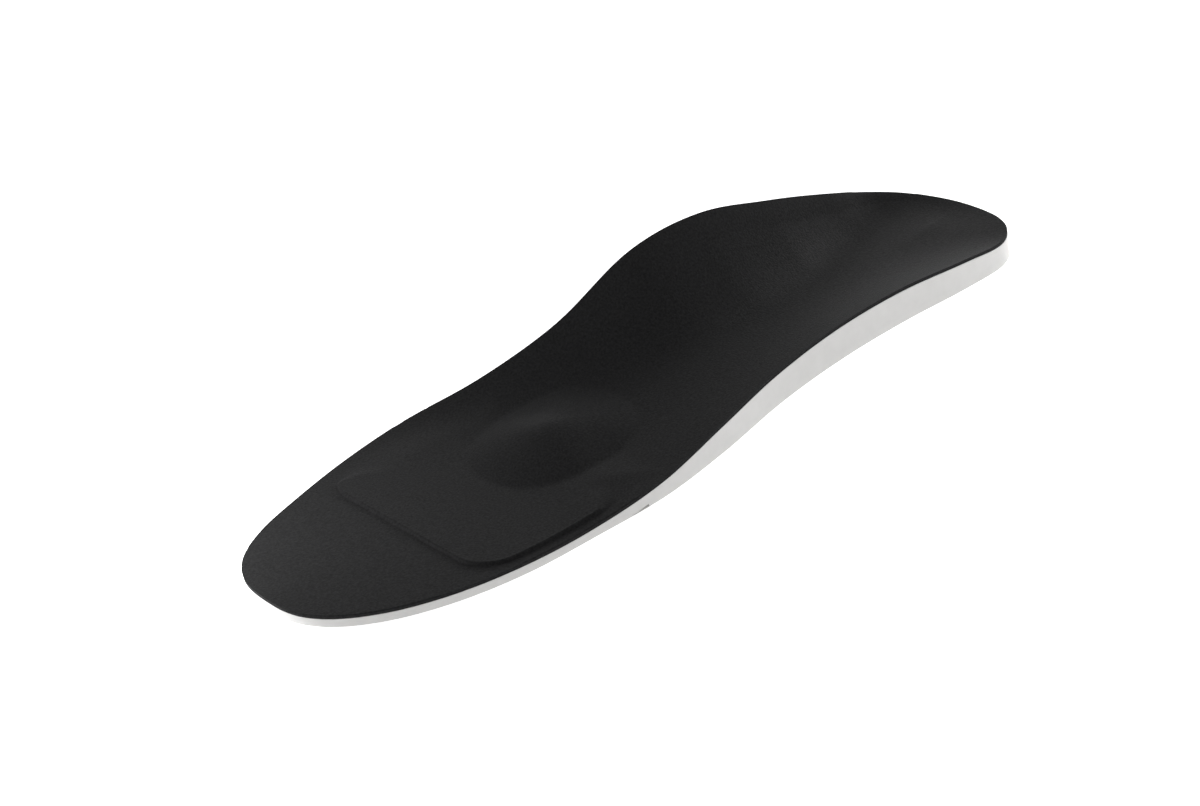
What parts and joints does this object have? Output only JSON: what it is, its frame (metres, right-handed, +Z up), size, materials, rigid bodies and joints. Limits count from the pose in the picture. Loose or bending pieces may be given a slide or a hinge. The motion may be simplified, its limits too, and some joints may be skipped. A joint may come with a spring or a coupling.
{
  "type": "forefoot orthopedic insole",
  "caption": "Full-length shoe insole for a left foot: black microfibre cover over a white foam base with a heel cup, raised arch, forefoot cushion and metatarsal dome.",
  "frame": {"origin": "middle of the insole's length and width, on the flat underside, which is the plane that it lies on", "axes": "+Y towards the toes, +X towards the medial side (the arch and the big toe), +Z up to the foot"},
  "size_m": [0.0922, 0.268, 0.0355],
  "materials": {
    "eva_foam": "white closed-cell EVA foam, matt, ground at the side wall",
    "cushion_foam": "soft open-cell foam, matt, hidden under the cover",
    "pad_foam": "soft latex foam, matt, hidden under the cover",
    "microfibre": "black microfibre with a fine suede nap, matt"
  },
  "bodies": {
    "root": {"foam_base": "eva_foam", "forefoot_cushion": "cushion_foam", "metatarsal_pad": "pad_foam", "top_cover": "microfibre"}
  },
  "joints": []
}
